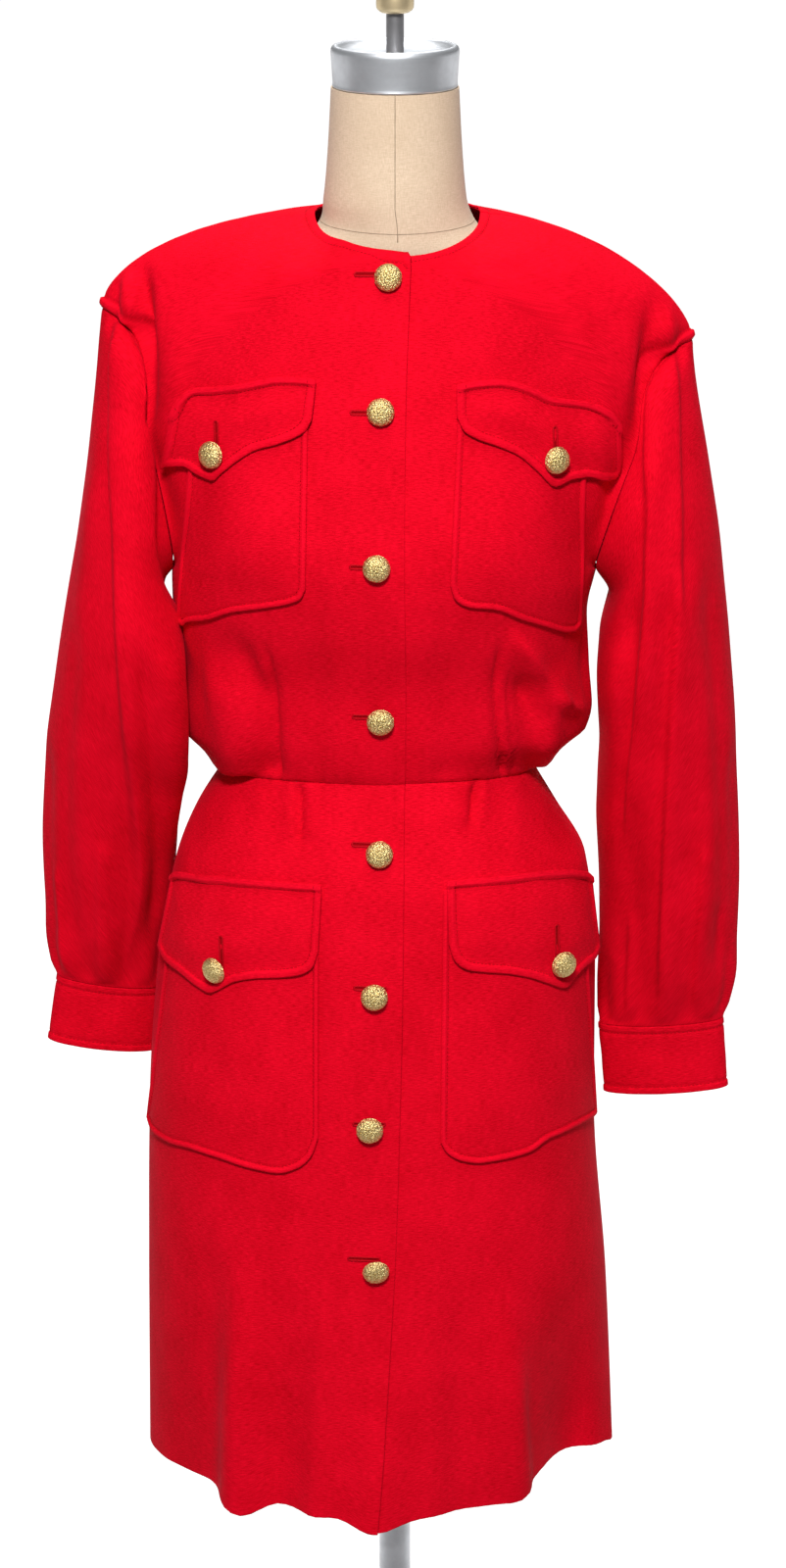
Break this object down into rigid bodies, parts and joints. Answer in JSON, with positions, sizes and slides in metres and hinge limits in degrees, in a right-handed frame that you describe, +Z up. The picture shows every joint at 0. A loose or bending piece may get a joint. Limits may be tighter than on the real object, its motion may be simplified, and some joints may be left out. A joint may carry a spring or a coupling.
{
  "type": "coat dress on a limbless dress form with its stand",
  "caption": "Knee-length coat dress with long full sleeves, patch pockets under pointed flaps and a lapped buttoned front, worn by a limbless dress form on a pole and round base",
  "frame": {"origin": "middle of the underside of the stand's base", "axes": "+Z up, the front of the dress faces -Y, +X is the viewer's right, so the wearer's right side is at -X"},
  "size_m": [0.5467, 0.37, 1.5605],
  "materials": {
    "red_wool": "soft red wool with a slight nap",
    "gold_buttons": "pale gold, hammered and domed",
    "linen": "plain beige linen",
    "satin_metal": "satin grey metal",
    "finial": "pale gold",
    "painted_iron": "black paint"
  },
  "bodies": {
    "root": {"bodice_front_right": "red_wool", "bodice_front_left": "red_wool", "bodice_back": "red_wool", "skirt_front_right": "red_wool", "skirt_front_left": "red_wool", "skirt_back": "red_wool", "sleeve_right": "red_wool", "sleeve_left": "red_wool", "cuff_right": "red_wool", "cuff_left": "red_wool", "chest_pocket_right": "red_wool", "chest_pocket_left": "red_wool", "chest_flap_right": "red_wool", "chest_flap_left": "red_wool", "hip_pocket_right": "red_wool", "hip_pocket_left": "red_wool", "hip_flap_right": "red_wool", "hip_flap_left": "red_wool", "front_button_1": "gold_buttons", "front_button_2": "gold_buttons", "front_button_3": "gold_buttons", "front_button_4": "gold_buttons", "front_button_5": "gold_buttons", "front_button_6": "gold_buttons", "front_button_7": "gold_buttons", "front_button_8": "gold_buttons", "chest_button_right": "gold_buttons", "chest_button_left": "gold_buttons", "hip_button_right": "gold_buttons", "hip_button_left": "gold_buttons", "form_torso": "linen", "form_neck_cap": "satin_metal", "form_rod": "satin_metal", "form_finial": "finial", "stand_pole": "satin_metal", "stand_base": "painted_iron"}
  },
  "joints": []
}
